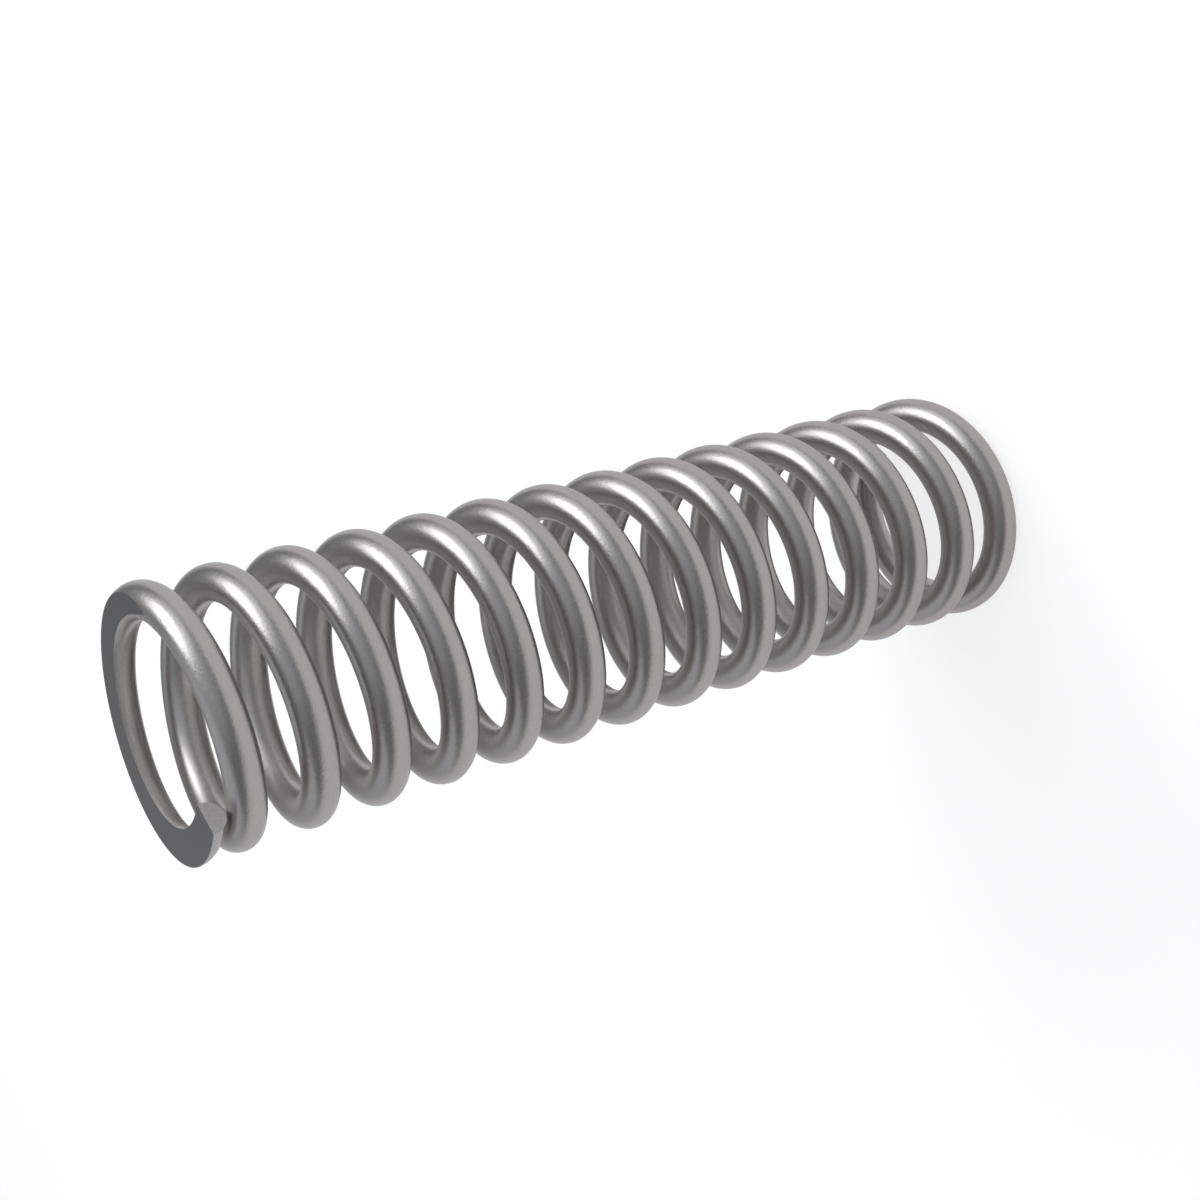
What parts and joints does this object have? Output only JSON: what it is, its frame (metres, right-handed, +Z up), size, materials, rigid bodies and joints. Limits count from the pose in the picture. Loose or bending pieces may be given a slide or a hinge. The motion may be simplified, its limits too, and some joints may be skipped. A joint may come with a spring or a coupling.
{
  "type": "compression spring",
  "caption": "Slender cylindrical helical compression spring of round steel wire, wound right-hand, with closed and ground ends that stand flat.",
  "frame": {"origin": "on the coil's axis, in the plane of the lower ground face", "axes": "+Z up the coil's axis towards the upper ground face, +X from the axis towards the lower tip of the wire"},
  "size_m": [0.0116, 0.0116, 0.0428],
  "materials": {
    "spring_steel_wire": "satin grey drawn wire, with flat ground ends"
  },
  "bodies": {
    "root": {"coil_spring": "spring_steel_wire"}
  },
  "joints": []
}
